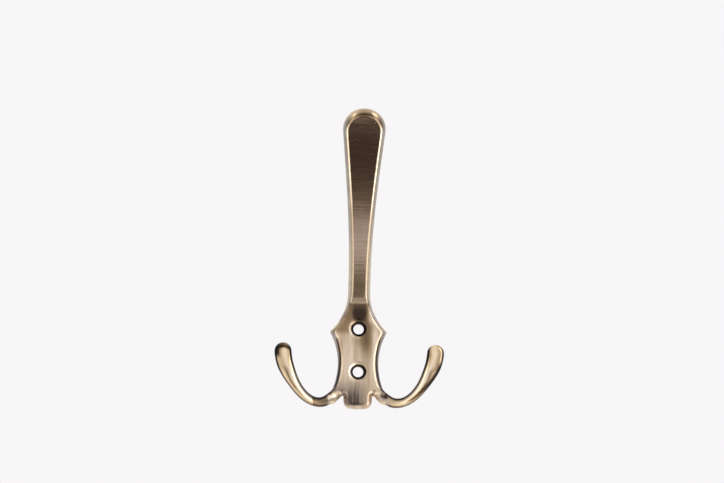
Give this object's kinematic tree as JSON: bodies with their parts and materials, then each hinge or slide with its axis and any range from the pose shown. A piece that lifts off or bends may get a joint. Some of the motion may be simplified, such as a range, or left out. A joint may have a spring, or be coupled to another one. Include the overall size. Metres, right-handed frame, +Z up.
{
  "type": "triple coat hook",
  "caption": "Cast wall coat hook: waisted back plate with countersunk screw holes, a long arm leaning out above and a short curled prong at each lower corner.",
  "frame": {"origin": "midway between the screw holes, on the flat back face that lies against the wall", "axes": "+Z up along the wall, +Y into the wall, the front faces -Y, +X to the right of a person who faces the hook"},
  "size_m": [0.075, 0.054, 0.125],
  "materials": {
    "antique_brass": "brushed antique brass plating, darker in the hollows and lighter on the edges"
  },
  "bodies": {
    "root": {"hook_casting": "antique_brass"}
  },
  "joints": []
}
